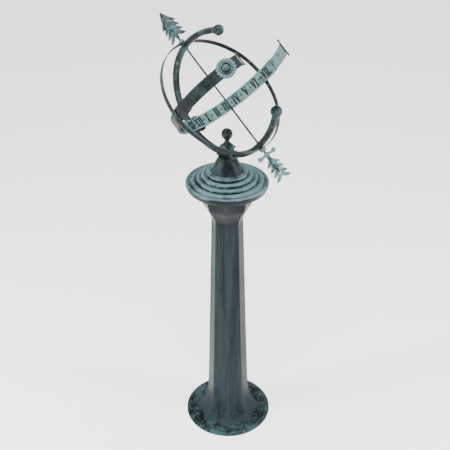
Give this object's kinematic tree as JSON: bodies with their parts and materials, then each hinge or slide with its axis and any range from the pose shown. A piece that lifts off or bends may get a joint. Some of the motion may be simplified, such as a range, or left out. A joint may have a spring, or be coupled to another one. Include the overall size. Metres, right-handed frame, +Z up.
{
  "type": "armillary sphere",
  "caption": "Armillary sundial: open rings, numbered hour band and feathered arrow gnomon on a tall octagonal pedestal with a stepped round cap.",
  "frame": {"origin": "centre of the underside, on the ground", "axes": "+Z up; -X is north, where the arrow points; +Y is east"},
  "size_m": [0.3578, 0.2912, 1.0558],
  "materials": {
    "cast_iron_dark": "dark green-grey painted casting with brushed teal highlights",
    "cast_iron_teal": "verdigris wash rubbed over dark paint",
    "ring_metal": "near-black patina with verdigris on the edges",
    "band_metal": "verdigris wash with dark recesses",
    "verdigris_trim": "heavy verdigris wash on raised work",
    "arrow_metal": "dark patina, verdigris on the barbs",
    "zinc_steel": "zinc-plated fastener"
  },
  "bodies": {
    "pedestal": {"base_casting": "cast_iron_dark", "anchor_plate": "zinc_steel", "anchor_nut": "zinc_steel", "column_shaft": "cast_iron_dark", "tie_rod": "zinc_steel", "cap_casting": "cast_iron_teal", "cap_washer": "zinc_steel", "coupling_nut": "zinc_steel", "neck_casting": "cast_iron_dark", "mounting_stud": "zinc_steel"},
    "saddle": {"ring_saddle": "ring_metal", "saddle_washer": "ring_metal"},
    "sphere": {"meridian_ring": "ring_metal", "upper_end_ball": "ring_metal", "lower_end_ball": "ring_metal", "colure_ring": "ring_metal", "equatorial_band": "band_metal", "west_end_bar": "ring_metal", "east_end_bar": "ring_metal", "west_rosette": "verdigris_trim", "west_rosette_screw": "zinc_steel", "noon_rosette": "ring_metal", "noon_spacer": "ring_metal", "noon_screw": "zinc_steel", "west_rivet": "ring_metal", "east_rivet": "ring_metal", "north_hub": "verdigris_trim", "south_hub": "verdigris_trim", "north_set_screw": "zinc_steel", "south_set_screw": "zinc_steel"},
    "arrow": {"gnomon_rod": "ring_metal", "arrowhead": "arrow_metal", "scroll_bar": "verdigris_trim", "binding": "verdigris_trim", "fletching": "verdigris_trim"},
    "finial": {"rosette_nut": "verdigris_trim", "finial_ball": "ring_metal"}
  },
  "joints": [
    {"name": "heading_turn", "type": "hinge", "parent": "pedestal", "child": "saddle", "pos_m": [0, 0, 0.758], "axis": [0, 0, 1], "continuous": true},
    {"name": "latitude_tilt", "type": "hinge", "parent": "saddle", "child": "sphere", "pos_m": [-0.0135, 0, 0.9036], "axis": [0, 1, 0], "range_deg": [-5, 5]},
    {"name": "arrow_turn", "type": "hinge", "parent": "sphere", "child": "arrow", "pos_m": [-0.0135, 0, 0.9036], "axis": [-0.7716, 0, 0.6361], "continuous": true},
    {"name": "finial_turn", "type": "hinge", "parent": "pedestal", "child": "finial", "pos_m": [0, 0, 0.79], "axis": [0, 0, 1], "continuous": true}
  ]
}
